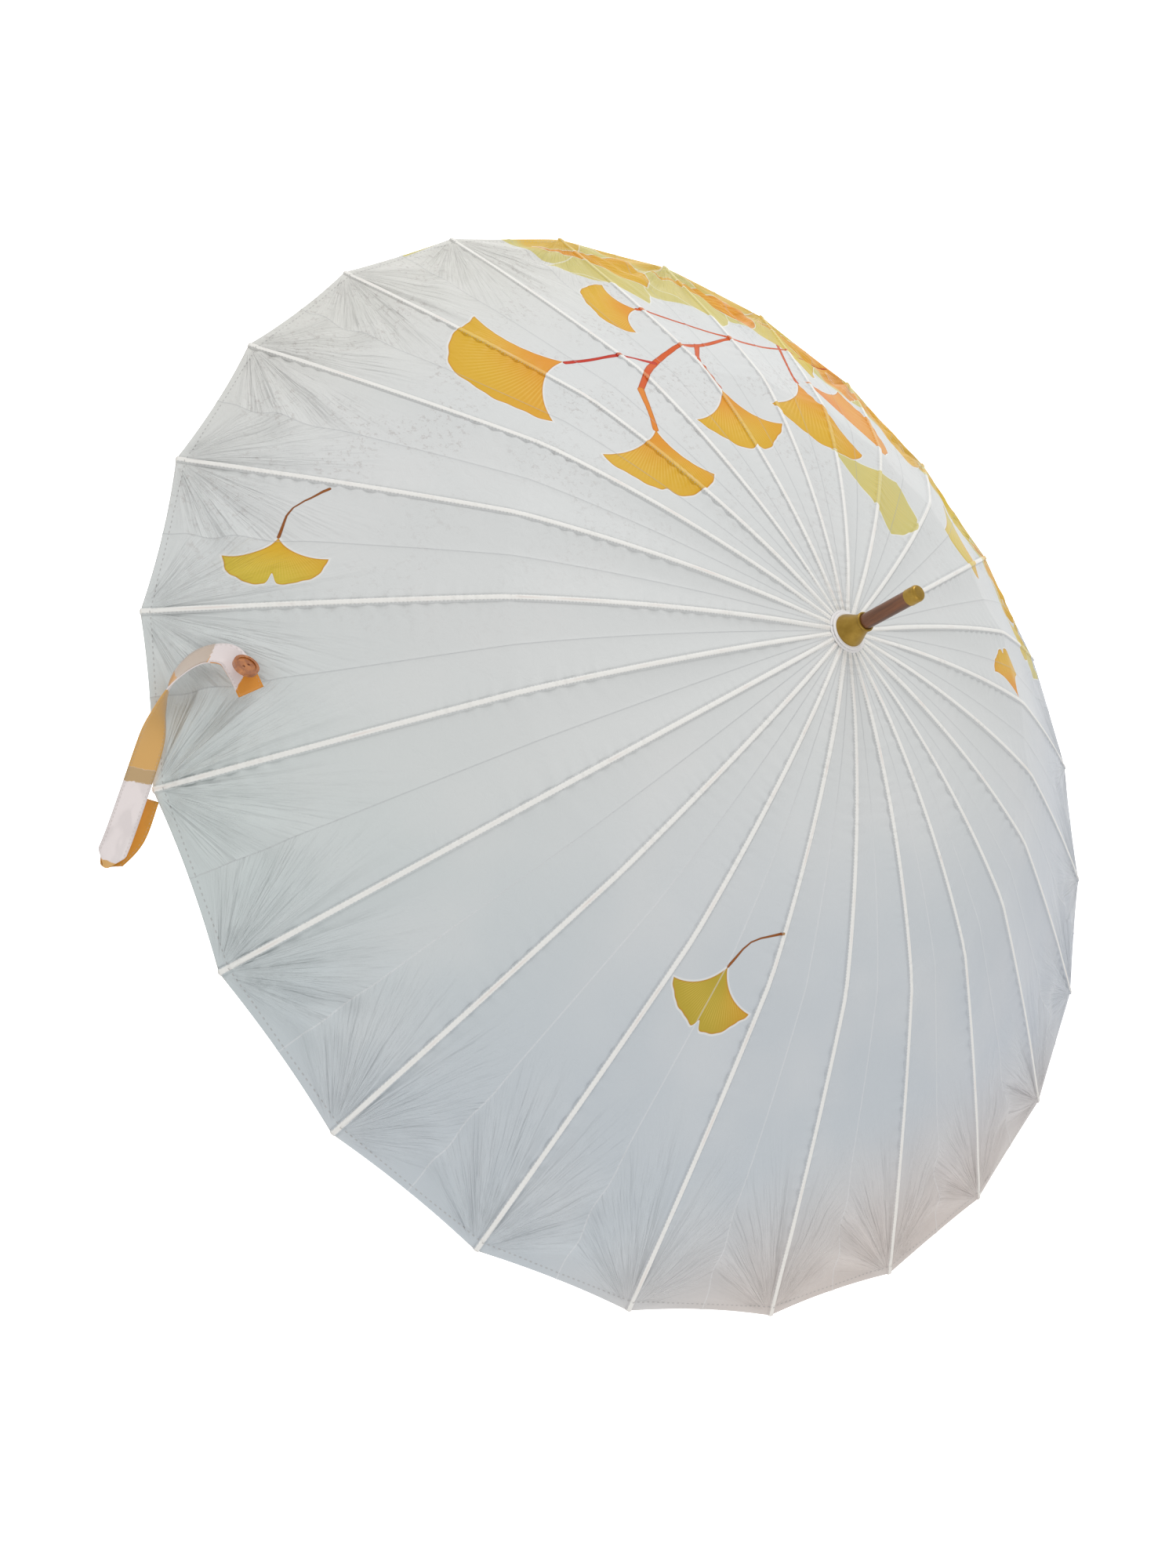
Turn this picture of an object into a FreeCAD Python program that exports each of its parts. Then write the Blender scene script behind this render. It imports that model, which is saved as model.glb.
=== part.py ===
"""Stick umbrella with twenty-four ribs and a sewn cloth canopy, open, in millimetres.

The shaft runs along +Z with the canopy at the top. The origin is on the shaft's axis,
in the middle of the grip. Rib 1 lies along +X and the others follow every 15 degrees.
One rib and one stretcher are designed in the XZ plane and copied round the shaft.

The fold is a parallel linkage: the length from the notch pivot to the stretcher pivot
equals the stretcher's own length, and the notch and runner pivots stand at one radius.
So a rib that turns by an angle, and a stretcher that turns back by the same angle,
keep the runner on the shaft at every stage of the fold.
"""
import FreeCAD, Part
import math
import os

from FreeCAD import Vector

os.makedirs("parts", exist_ok=True)

# ---------------------------------------------------------------- driving dimensions
RIB_COUNT = 24
RIM_RADIUS = 520.0
KINK_SHARE = 0.549            # where the stretchers push, as a share of the rim radius
NOTCH_Z = 645.0               # rib pivots above the middle of the grip
PIVOT_RADIUS = 14.0           # rib and stretcher pivots from the shaft's axis

# Canopy height above the rim plane, as shares of the rim radius
CROWN_HEIGHT = 0.371
CROWN_SLOPE = 0.049
CROWN_CURVE = 0.287
KINK_HEIGHT = 0.258
SKIRT_SLOPE = 0.523
SKIRT_CURVE = 0.106

CLOTH = 0.6                   # canopy thickness
CANOPY_BORE = 8.0
ROD_RADIUS = 1.4
ROD_DROP = 3.4                # rod centreline below the canopy's outer face
LUG_DROP = 4.0                # stretcher pivot below the rod centreline
BLADE = 1.2                   # thickness of the pivot eyes
EYE_RADIUS = 1.9
WIRE_RADIUS = 0.55
EYE_HOLE = WIRE_RADIUS + 0.07
RIVET_RADIUS = 0.6
RIVET_HOLE = RIVET_RADIUS + 0.07
NECK = 5.0                    # bare blade between an eye and its rod or channel
SLEEVE_LENGTH = 6.0
SLEEVE_RADIUS = 1.75
SADDLE_RADIUS = 1.9
SADDLE_HALF = 4.5
SADDLE_WEB = 0.6              # between the ends of the two rods
LUG = 1.0
LUG_END = 1.5
TIP_RADIUS = 2.0

CHANNEL_WIDTH = 2.8
CHANNEL_HEIGHT = 3.0
CHANNEL_WALL = 0.7
FORK_LENGTH = 6.0
FORK_END = 1.6
RIVET_HEAD = 1.0
RIVET_PROUD = 0.3

SHAFT_RADIUS = 6.5
SHAFT_FOOT = 0.0              # lower end of the shaft, in the handle's bore
CROWN_RADIUS = 16.5           # notch and runner discs
SLOT_WIDTH = 1.6
SLOT_FLOOR = 11.6
NOTCH_TOP = 1.6
NOTCH_BOTTOM = 3.0
NOTCH_COLLAR = 9.0
NOTCH_COLLAR_DROP = 12.0
RUNNER_BORE = SHAFT_RADIUS + 0.35
RUNNER_HALF = 3.0
RUNNER_TUBE = 10.5
RUNNER_DROP = 38.0
RUNNER_FLANGE = 12.5
RUNNER_FLANGE_HEIGHT = 4.0
WINDOW_TOP = 14.0
WINDOW_BOTTOM = 26.0
WINDOW_WIDTH = 4.4

CATCH_WIDTH = 1.6
CATCH_TRAVEL = 3.6
CATCH_BACK = 2.6
CATCH_NOSE = 10.0
CATCH_TOE = 6.0
CATCH_HEIGHT = 10.0
CATCH_GAP = 0.6               # between a catch and the runner edge that it stops
CATCH_ROOM = 1.0              # spare room round a catch in its pocket

HANDLE_RADIUS = 10.5
HANDLE_HALF = 45.0            # straight grip above and below the origin
HOOK_RADIUS = 30.0
HOOK_RISE = 18.0
COLLAR_RADIUS = 11.2
COLLAR_SEAT = 10.0
COLLAR_HEIGHT = 15.0
COLLAR_CAP = 1.5

WASHER_RADIUS = 16.5
WASHER = 1.0
SEAT_GAP = 0.1                # between the washer and the cone cap that presses on it
CONE_BASE = 14.25
CONE_HEIGHT = 20.5
CONE_WALL = 1.2
CONE_LIP = 8.3
FERRULE_END = 84.0            # above the notch pivots
CAP_RADIUS = 6.9
CAP_LENGTH = 11.0
CAP_FLOOR = 3.2
CAP_ROUND = 2.6

STRAP_RIB = 18
STRAP_WIDTH = 19.0
STRAP = 1.0
BUTTON_RADIUS = 9.5
BUTTON = 3.0

# ---------------------------------------------------------------- worked-out values
UP = Vector(0, 0, 1)
SIDE = Vector(0, 1, 0)
STEP = 360.0 / RIB_COUNT


def canopy_height(radius):
    """Height of the canopy's outer face over a rib, above the rim plane."""
    share = radius / RIM_RADIUS
    if share < KINK_SHARE:
        return RIM_RADIUS * (CROWN_HEIGHT - CROWN_SLOPE * share - CROWN_CURVE * share ** 2)
    past = share - KINK_SHARE
    return RIM_RADIUS * (KINK_HEIGHT - SKIRT_SLOPE * past - SKIRT_CURVE * past ** 2)


RIM_Z = NOTCH_Z - canopy_height(PIVOT_RADIUS) + ROD_DROP
KINK_RADIUS = KINK_SHARE * RIM_RADIUS


def rod_point(radius):
    return Vector(radius, 0, RIM_Z + canopy_height(radius) - ROD_DROP)


NOTCH = Vector(PIVOT_RADIUS, 0, NOTCH_Z)
KINK = rod_point(KINK_RADIUS)
LUG_PIVOT = KINK - UP * LUG_DROP
REACH = LUG_PIVOT.x - PIVOT_RADIUS
FALL = NOTCH_Z - LUG_PIVOT.z
ARM = math.hypot(REACH, FALL)
RUNNER = Vector(PIVOT_RADIUS, 0, NOTCH_Z - 2 * FALL)
OPEN_ANGLE = math.degrees(math.atan2(FALL, REACH))
CLOSED_ANGLE = 81.0
CLOSED_RUNNER_Z = NOTCH_Z - 2 * ARM * math.sin(math.radians(CLOSED_ANGLE))


# ---------------------------------------------------------------- small tools
def save(node, *solids):
    shape = solids[0] if len(solids) == 1 else Part.makeCompound(list(solids))
    shape.exportStep("parts/" + node + ".step")


def disc(radius, bottom, top):
    return Part.makeCylinder(radius, top - bottom, Vector(0, 0, bottom), UP)


def ring(outer, inner, bottom, top):
    return disc(outer, bottom, top).cut(disc(inner, bottom - 1, top + 1))


def spun(outline):
    """A closed outline of (radius, height) points turned once round the shaft's axis."""
    points = [Vector(radius, 0, height) for radius, height in outline]
    face = Part.Face(Part.makePolygon(points + points[:1]))
    return face.revolve(Vector(0, 0, 0), UP, 360)


def flat_bar(start, end, height, thickness):
    """A flat bar in the XZ plane, centred on the line from start to end."""
    along = end - start
    bar = Part.makeBox(along.Length, thickness, height, Vector(0, -thickness / 2, -height / 2))
    bar.rotate(Vector(0, 0, 0), SIDE, -math.degrees(math.atan2(along.z, along.x)))
    bar.translate(start)
    return bar


def cross_pin(centre, radius, length):
    return Part.makeCylinder(radius, length, centre - SIDE * length / 2, SIDE)


def rod_along(arc, start, end, radius):
    """A round rod along a circular arc, between two distances from the arc's start."""
    circle = arc.Curve
    first = arc.getParameterByLength(start)
    section = Part.makeCircle(radius, arc.valueAt(first), arc.tangentAt(first))
    turn = math.degrees((end - start) / circle.Radius)
    return Part.Face(Part.Wire(section)).revolve(circle.Center, circle.Axis, turn)


def solid_of(faces):
    """A closed solid from flat faces, turned right side out."""
    shell = Part.makeShell(faces)
    shell.sewShape()
    solid = Part.makeSolid(shell)
    far_away = Vector(0, 0, -10 * RIM_RADIUS)
    if solid.isInside(far_away, 0.001, False):
        solid.reverse()
    return solid


def turned(shape, number):
    """A copy of a piece made over +X, turned to the place of the given rib."""
    copy = shape.copy()
    copy.rotate(Vector(0, 0, 0), UP, STEP * (number - 1))
    return copy


# ---------------------------------------------------------------- rib
def make_rib():
    """Two curved rods that meet in the saddle, with an eye at the notch and a round tip."""
    inner = Part.Arc(NOTCH, rod_point(KINK_RADIUS / 2), KINK).toShape()
    skirt_middle = rod_point((KINK_RADIUS + RIM_RADIUS) / 2)
    outer = Part.Arc(KINK, skirt_middle, rod_point(RIM_RADIUS - TIP_RADIUS)).toShape()
    bend = inner.Length
    inner_rod = rod_along(inner, NECK + 1, bend - SADDLE_WEB / 2, ROD_RADIUS)
    outer_rod = rod_along(outer, SADDLE_WEB / 2, outer.Length, ROD_RADIUS)

    sleeve_start = inner.valueAt(inner.getParameterByLength(NECK))
    eye = cross_pin(NOTCH, EYE_RADIUS, BLADE)
    eye = eye.fuse(flat_bar(NOTCH, sleeve_start, 2 * ROD_RADIUS, BLADE))
    eye = eye.fuse(rod_along(inner, NECK, NECK + SLEEVE_LENGTH, SLEEVE_RADIUS))
    eye = eye.cut(inner_rod).cut(cross_pin(NOTCH, EYE_HOLE, 2 * BLADE))

    saddle = rod_along(inner, bend - SADDLE_HALF, bend, SADDLE_RADIUS)
    saddle = saddle.fuse(rod_along(outer, 0, SADDLE_HALF, SADDLE_RADIUS))
    saddle = saddle.fuse(cross_pin(LUG_PIVOT, LUG_END, LUG))
    saddle = saddle.fuse(flat_bar(LUG_PIVOT, KINK, 2 * LUG_END, LUG))
    saddle = saddle.cut(inner_rod).cut(outer_rod).cut(cross_pin(LUG_PIVOT, RIVET_HOLE, 2 * LUG))

    tip = Part.makeSphere(TIP_RADIUS, outer.valueAt(outer.LastParameter)).cut(outer_rod)
    return Part.makeCompound([inner_rod, outer_rod, eye, saddle, tip])


# ---------------------------------------------------------------- stretcher
def make_stretcher():
    """A channel with an eye at the runner and a fork round the rib's lug, laid along +X."""
    half = CHANNEL_HEIGHT / 2
    web_end = ARM - FORK_LENGTH
    channel_start = NECK + 1
    tray = Part.makeBox(ARM - channel_start, CHANNEL_WIDTH, CHANNEL_HEIGHT,
                        Vector(channel_start, -CHANNEL_WIDTH / 2, -half))
    slot = CHANNEL_WIDTH - 2 * CHANNEL_WALL
    tray = tray.cut(Part.makeBox(ARM, slot, CHANNEL_HEIGHT,
                                 Vector(0, -slot / 2, -half + CHANNEL_WALL)))
    tray = tray.cut(Part.makeBox(2 * FORK_LENGTH, slot, CHANNEL_HEIGHT,
                                 Vector(web_end, -slot / 2, -half - 1)))
    pivot = Vector(ARM, 0, 0)
    tray = tray.fuse(cross_pin(pivot, FORK_END, CHANNEL_WIDTH).cut(cross_pin(pivot, 3, slot)))
    blade = Part.makeBox(2 * channel_start, BLADE, half + half - CHANNEL_WALL,
                         Vector(0, -BLADE / 2, -half + CHANNEL_WALL))
    tray = tray.fuse(blade).fuse(cross_pin(Vector(0, 0, 0), EYE_RADIUS, BLADE))
    tray = tray.cut(cross_pin(Vector(0, 0, 0), EYE_HOLE, 2 * BLADE))
    tray = tray.cut(cross_pin(pivot, RIVET_RADIUS, 2 * CHANNEL_WIDTH))

    rivet = cross_pin(pivot, RIVET_RADIUS, CHANNEL_WIDTH)
    for face in (-1, 1):
        head = SIDE * face * (CHANNEL_WIDTH + RIVET_PROUD) / 2
        rivet = rivet.fuse(cross_pin(pivot + head, RIVET_HEAD, RIVET_PROUD))

    pieces = Part.makeCompound([tray, rivet])
    pieces.rotate(Vector(0, 0, 0), SIDE, -OPEN_ANGLE)
    pieces.translate(RUNNER)
    return pieces


# ---------------------------------------------------------------- notch and runner
def pivot_crown(body, height):
    """Cuts a slot for each eye, and threads the wire ring that the eyes turn on."""
    wire = Part.makeTorus(PIVOT_RADIUS, WIRE_RADIUS, Vector(0, 0, height), UP)
    slot = Part.makeBox(CROWN_RADIUS, SLOT_WIDTH, 2 * CROWN_RADIUS,
                        Vector(SLOT_FLOOR, -SLOT_WIDTH / 2, height - CROWN_RADIUS))
    slots = [turned(slot, number) for number in range(1, RIB_COUNT + 1)]
    return body.cut(Part.makeCompound(slots)).cut(wire), wire


def make_notch():
    body = ring(CROWN_RADIUS, SHAFT_RADIUS, NOTCH_Z - NOTCH_BOTTOM, NOTCH_Z + NOTCH_TOP)
    body, wire = pivot_crown(body, NOTCH_Z)
    collar = ring(NOTCH_COLLAR, SHAFT_RADIUS, NOTCH_Z - NOTCH_COLLAR_DROP, NOTCH_Z)
    return body.fuse(collar), wire


def make_runner():
    height = RUNNER.z
    crown = ring(CROWN_RADIUS, RUNNER_BORE, height - RUNNER_HALF, height + RUNNER_HALF)
    crown, wire = pivot_crown(crown, height)
    tube = ring(RUNNER_TUBE, RUNNER_BORE, height - RUNNER_DROP, height)
    flange_top = height - RUNNER_DROP + RUNNER_FLANGE_HEIGHT
    flange = ring(RUNNER_FLANGE, RUNNER_BORE, height - RUNNER_DROP, flange_top)
    window = Part.makeBox(RUNNER_FLANGE, WINDOW_WIDTH, WINDOW_BOTTOM - WINDOW_TOP,
                          Vector(0, -WINDOW_WIDTH / 2, height - WINDOW_BOTTOM))
    return crown.fuse(tube).fuse(flange).cut(window), wire


# ---------------------------------------------------------------- shaft, catches, ends
def catch_slot(bottom):
    """The pocket in the shaft that a pressed catch slides back into."""
    floor = CATCH_BACK - CATCH_TRAVEL - CATCH_ROOM
    width = CATCH_WIDTH + CATCH_ROOM
    return Part.makeBox(2 * SHAFT_RADIUS, width, CATCH_HEIGHT + 2 * CATCH_ROOM,
                        Vector(floor, -width / 2, bottom - CATCH_ROOM))


def make_catch(bottom, shoulder_up):
    """A sprung catch: a flat shoulder on one side and a slope on the other."""
    top = bottom + CATCH_HEIGHT
    upper, lower = (CATCH_NOSE, CATCH_TOE) if shoulder_up else (CATCH_TOE, CATCH_NOSE)
    side = -CATCH_WIDTH / 2
    outline = [Vector(CATCH_BACK, side, bottom), Vector(lower, side, bottom),
               Vector(upper, side, top), Vector(CATCH_BACK, side, top)]
    face = Part.Face(Part.makePolygon(outline + outline[:1]))
    return face.extrude(SIDE * CATCH_WIDTH)


TOP_CATCH_Z = RUNNER.z - RUNNER_DROP - CATCH_GAP - CATCH_HEIGHT
BOTTOM_CATCH_Z = CLOSED_RUNNER_Z - WINDOW_BOTTOM + CATCH_GAP


def make_shaft():
    rod = disc(SHAFT_RADIUS, SHAFT_FOOT, NOTCH_Z + FERRULE_END - CAP_FLOOR)
    return rod.cut(catch_slot(TOP_CATCH_Z)).cut(catch_slot(BOTTOM_CATCH_Z))


def make_ferrule_cap():
    top = NOTCH_Z + FERRULE_END
    body = disc(CAP_RADIUS, top - CAP_LENGTH, top)
    rim = [edge for edge in body.Edges
           if abs(edge.CenterOfMass.z - top) < 0.01 and edge.Length > CAP_RADIUS]
    body = body.makeFillet(CAP_ROUND, rim)
    bore = disc(SHAFT_RADIUS, top - CAP_LENGTH - 1, top - CAP_FLOOR)
    return body.cut(bore)


# The bell's outer flare and its inner wall, as (radius, height above the base)
CONE_FLARE = [(14.05, 2.2), (12.2, 6.5), (10.0, 11.5), (8.4, 15.5), (7.7, 18.2)]
CONE_INSIDE = [(SHAFT_RADIUS, 15.5), (8.8, 11.0), (11.0, 6.0), (CONE_BASE - CONE_WALL, 0.0)]
CONE_LIP_BOTTOM = 18.4


def make_cone_cap():
    """A bell over the crown, thin at its foot, with a lip where it closes on the shaft."""
    lip = [(CONE_LIP, CONE_LIP_BOTTOM), (CONE_LIP, CONE_HEIGHT), (SHAFT_RADIUS, CONE_HEIGHT)]
    base = RIM_Z + canopy_height(CONE_BASE - CONE_WALL) + WASHER + SEAT_GAP
    outline = [(CONE_BASE, 0.0)] + CONE_FLARE + lip + CONE_INSIDE
    return spun([(radius, base + height) for radius, height in outline])


def make_handle():
    grip = disc(HANDLE_RADIUS, -HANDLE_HALF, HANDLE_HALF)
    seat = ring(2 * HANDLE_RADIUS, COLLAR_SEAT, HANDLE_HALF - COLLAR_HEIGHT, HANDLE_HALF + 1)
    grip = grip.cut(seat)
    section = Part.Face(Part.Wire(Part.makeCircle(HANDLE_RADIUS, Vector(0, 0, -HANDLE_HALF), UP)))
    bend = section.revolve(Vector(HOOK_RADIUS, 0, -HANDLE_HALF), SIDE, -180)
    heel = Vector(2 * HOOK_RADIUS, 0, -HANDLE_HALF)
    rise = Part.makeCylinder(HANDLE_RADIUS, HOOK_RISE, heel, UP)
    nose = Part.makeSphere(HANDLE_RADIUS, heel + UP * HOOK_RISE)
    body = grip.fuse(bend).fuse(rise).fuse(nose).removeSplitter()
    return body.cut(disc(SHAFT_RADIUS, SHAFT_FOOT, HANDLE_HALF + 1))


def make_handle_collar():
    tube = ring(COLLAR_RADIUS, COLLAR_SEAT, HANDLE_HALF - COLLAR_HEIGHT, HANDLE_HALF)
    return tube.fuse(ring(COLLAR_RADIUS, SHAFT_RADIUS, HANDLE_HALF, HANDLE_HALF + COLLAR_CAP))


# ---------------------------------------------------------------- canopy
def make_canopy():
    """A flat-panelled shell: an outer and an inner skin joined at the bore and the rim."""
    inner_steps, outer_steps = 7, 6
    radii = [CANOPY_BORE + (KINK_RADIUS - CANOPY_BORE) * i / inner_steps for i in range(inner_steps)]
    radii += [KINK_RADIUS + (RIM_RADIUS - KINK_RADIUS) * i / outer_steps
              for i in range(outer_steps + 1)]
    outer = [(radius, RIM_Z + canopy_height(radius)) for radius in radii]
    inner = [(radius, height - CLOTH) for radius, height in outer]
    loop = outer + inner[::-1]

    def corner(point, number):
        angle = math.radians(STEP * number)
        return Vector(point[0] * math.cos(angle), point[0] * math.sin(angle), point[1])

    faces = []
    for number in range(RIB_COUNT):
        for here, there in zip(loop, loop[1:] + loop[:1]):
            corners = [corner(here, number), corner(here, number + 1),
                       corner(there, number + 1), corner(there, number)]
            faces.append(Part.Face(Part.makePolygon(corners + corners[:1])))
    return solid_of(faces)


def make_washer():
    inner = CANOPY_BORE - 1.0
    inner_z = RIM_Z + canopy_height(inner) + SEAT_GAP / 2
    outer_z = RIM_Z + canopy_height(WASHER_RADIUS) + SEAT_GAP / 2
    return spun([(inner, inner_z), (WASHER_RADIUS, outer_z), (WASHER_RADIUS, outer_z + WASHER),
                 (inner, inner_z + WASHER)])


# ---------------------------------------------------------------- tie strap and button
def strap_point(out, across, above):
    """A point given from the strap's rib: out from the shaft, across the rib, above the rim."""
    return Vector(out, across, RIM_Z + above)


# Each station is a point on the strap's middle line, and the way its width runs there
STRAP_STATIONS = [
    ((525, 4, -3.5), (0.76, -0.65, 0.0)),
    ((545, 27, -11), (0.76, -0.65, 0.0)),
    ((556, 42, -12), (0.78, -0.62, 0.0)),
    ((559, 46, -9.5), (0.78, -0.62, 0.0)),
    ((556, 42, -7), (0.78, -0.62, 0.0)),
    ((546, 24, 1.5), (0.88, -0.45, 0.0)),
    ((520, -26, 9), (0.88, -0.42, 0.1)),
    ((507, -54, 17), (0.50, -0.10, 0.84)),
    ((493, -75, 23), (0.10, 0.50, 0.85)),
    ((477, -84, 33), (0.20, 0.80, 0.57)),
    ((462, -80, 43), (0.60, 0.60, 0.0)),
    ((456, -67, 46), (0.90, 0.25, -0.35)),
    ((451, -50, 44), (0.90, 0.25, -0.35)),
]


def strap_section(number):
    """The four corners of the strap at one station, square to the strap's run."""
    middles = [strap_point(*middle) for middle, _ in STRAP_STATIONS]
    last = len(middles) - 1
    along = middles[min(number + 1, last)] - middles[max(number - 1, 0)]
    wide = Vector(*STRAP_STATIONS[number][1])
    wide = wide - along * (wide.dot(along) / along.dot(along))
    wide.normalize()
    thick = along.cross(wide)
    thick.normalize()
    return [middles[number] + wide * (a * STRAP_WIDTH / 2) + thick * (b * STRAP / 2)
            for a, b in ((-1, -1), (1, -1), (1, 1), (-1, 1))]


def make_strap():
    """A thin band through the stations, with flat three-cornered faces.

    Each stretch is split along one diagonal, the same on the band's two sides, so that
    the sides stay apart where the band twists.
    """
    sections = [strap_section(number) for number in range(len(STRAP_STATIONS))]
    triangles = []
    for here, there in zip(sections, sections[1:]):
        for side in range(4):
            after = (side + 1) % 4
            near, far = (side, after) if side < 2 else (after, side)
            triangles.append((here[side], here[after], there[far]))
            triangles.append((here[near], there[after], there[side]))
    for end in (sections[0][::-1], sections[-1]):
        triangles.append((end[0], end[1], end[2]))
        triangles.append((end[0], end[2], end[3]))
    return solid_of([Part.Face(Part.makePolygon(list(t) + [t[0]])) for t in triangles])


BUTTON_CENTRE = (455, -66, 56)
BUTTON_NORMAL = Vector(-0.233, -0.347, 0.909)
DISH_RIM = 2.2
DISH_DEPTH = 0.9
HOLE_WAY = Vector(0.93, 0.30, 0.35)
HOLE_OFFSET = 2.3
HOLE_RADIUS = 1.0


def make_button():
    normal = Vector(BUTTON_NORMAL)
    normal.normalize()
    centre = strap_point(*BUTTON_CENTRE)
    button = Part.makeCylinder(BUTTON_RADIUS, BUTTON, centre - normal * BUTTON / 2, normal)
    dish_floor = centre + normal * (BUTTON / 2 - DISH_DEPTH)
    dish = Part.makeCylinder(BUTTON_RADIUS - DISH_RIM, BUTTON, dish_floor, normal)
    button = button.cut(dish)
    for side in (-1, 1):
        hole = centre + HOLE_WAY * side * HOLE_OFFSET - normal * 2 * BUTTON
        button = button.cut(Part.makeCylinder(HOLE_RADIUS, 4 * BUTTON, hole, normal))
    return button


# ---------------------------------------------------------------- write every node
def main():
    rib = make_rib()
    stretcher = make_stretcher()
    for number in range(1, RIB_COUNT + 1):
        save("rib_%02d" % number, turned(rib, number))
        save("stretcher_%02d" % number, turned(stretcher, number))
    save("top_notch", *make_notch())
    save("runner", *make_runner())
    save("shaft", make_shaft())
    save("top_spring", make_catch(TOP_CATCH_Z, True))
    save("bottom_spring", make_catch(BOTTOM_CATCH_Z, False))
    save("ferrule_cap", make_ferrule_cap())
    save("cone_cap", make_cone_cap())
    save("handle", make_handle())
    save("handle_collar", make_handle_collar())
    save("canopy", make_canopy(), make_washer())
    save("tie_strap", turned(make_strap(), STRAP_RIB))
    save("strap_button", turned(make_button(), STRAP_RIB))
    print("notch z", NOTCH_Z, "runner z", RUNNER.z, "lug", LUG_PIVOT, "arm", ARM)
    print("open angle", OPEN_ANGLE, "rim z", RIM_Z, "closed runner z", CLOSED_RUNNER_Z)


main()
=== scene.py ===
"""Looks for the open stick umbrella: cloth canopy with a ginkgo print, tie strap, wood and gilt fittings.

Lengths are in metres in the CAD frame, unless a comment says mm. The shaft runs along +Z and the
origin is in the grip. The canopy is made as twenty-four strips. Each strip is centred on one rib and
ends on the creases in the middle of the gores beside it, so that every strip can ride on its own rib.
"""
import math

import bpy
import numpy as np
from mathutils import Matrix, Vector


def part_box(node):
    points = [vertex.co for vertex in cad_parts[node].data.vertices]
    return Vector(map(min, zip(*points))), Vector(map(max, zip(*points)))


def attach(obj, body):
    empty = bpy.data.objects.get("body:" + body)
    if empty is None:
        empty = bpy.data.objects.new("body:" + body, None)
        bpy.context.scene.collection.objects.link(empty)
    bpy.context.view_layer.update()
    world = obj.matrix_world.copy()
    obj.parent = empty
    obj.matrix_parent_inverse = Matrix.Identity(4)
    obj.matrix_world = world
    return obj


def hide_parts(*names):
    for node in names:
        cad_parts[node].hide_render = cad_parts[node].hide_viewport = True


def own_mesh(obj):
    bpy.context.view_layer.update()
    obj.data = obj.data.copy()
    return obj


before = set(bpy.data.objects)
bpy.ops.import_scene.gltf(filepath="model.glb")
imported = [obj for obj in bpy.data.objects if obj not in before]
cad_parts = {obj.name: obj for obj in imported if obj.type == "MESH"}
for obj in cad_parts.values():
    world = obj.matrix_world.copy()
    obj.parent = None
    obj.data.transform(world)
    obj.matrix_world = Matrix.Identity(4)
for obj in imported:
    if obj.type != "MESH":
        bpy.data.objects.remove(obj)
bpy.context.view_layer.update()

# ------------------------------------------------------------------ driving sizes
RIB_COUNT = 24
STEP = 2 * math.pi / RIB_COUNT
RIM_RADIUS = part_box("canopy")[1].x
HANDLE_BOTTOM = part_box("handle")[0].z

# Canopy height above the rim plane, as shares of the rim radius
CROWN_HEIGHT = 0.371
CROWN_SLOPE = 0.049
CROWN_CURVE = 0.287
KINK_SHARE = 0.549
KINK_HEIGHT = 0.258
SKIRT_SLOPE = 0.523
SKIRT_CURVE = 0.106

CLOTH = 0.00035
STRIP_START = 0.0150          # where the strips begin, under the crown patch
WASHER = 0.001                # thickness of the washer, the highest part of the CAD canopy
BORE_DROP = 0.0003            # about how far the cloth falls from the dome's peak to the washer's hole
SEAM_HALF = 0.0027
SEAM_HEIGHT = 0.0012
CREASE_WIDTH = 0.0016
HEM_WIDTH = 0.0070
PUCKER = 0.0008               # height of the small gathers beside the seams
TIP_FOLD = 0.0028             # height of the slanting folds that run in from the rib tips
RIM_CURVE = 0.0045            # how far the rim draws in between ribs, as a share of its radius

STRAP_RIB = 18


def canopy_height(radius):
    """Height of the cloth over a rib, above the rim plane."""
    share = np.asarray(radius) / RIM_RADIUS
    crown = CROWN_HEIGHT - CROWN_SLOPE * share - CROWN_CURVE * share ** 2
    past = share - KINK_SHARE
    skirt = KINK_HEIGHT - SKIRT_SLOPE * past - SKIRT_CURVE * past ** 2
    return RIM_RADIUS * np.where(share < KINK_SHARE, crown, skirt)


RIM_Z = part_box("canopy")[1].z - WASHER - float(canopy_height(0.0)) + BORE_DROP


# ------------------------------------------------------------------ mesh helpers
def new_object(name, vertices, faces):
    """A smooth-shaded mesh object."""
    mesh = bpy.data.meshes.new(name)
    mesh.from_pydata([tuple(v) for v in vertices], [], [tuple(f) for f in faces])
    mesh.update()
    mesh.polygons.foreach_set("use_smooth", [True] * len(mesh.polygons))
    obj = bpy.data.objects.new(name, mesh)
    bpy.context.scene.collection.objects.link(obj)
    return obj


def point_attribute(obj, name, vectors):
    layer = obj.data.attributes.new(name, "FLOAT_VECTOR", "POINT")
    layer.data.foreach_set("vector", np.asarray(vectors, np.float32).ravel())


def grid_faces(rows, columns):
    index = np.arange(rows * columns).reshape(rows, columns)
    corners = (index[:-1, :-1], index[1:, :-1], index[1:, 1:], index[:-1, 1:])
    return np.stack(corners, -1).reshape(-1, 4)


def lathe(name, outline, turns=96):
    """A solid of revolution from a closed outline of (radius, height) points."""
    count = len(outline)
    vertices = []
    for i in range(turns):
        angle = 2 * math.pi * i / turns
        for radius, height in outline:
            vertices.append((radius * math.cos(angle), radius * math.sin(angle), height))
    faces = []
    for i in range(turns):
        there = (i + 1) % turns
        for j in range(count):
            after = (j + 1) % count
            faces.append((i * count + j, there * count + j, there * count + after, i * count + after))
    return new_object(name, vertices, faces)


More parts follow.
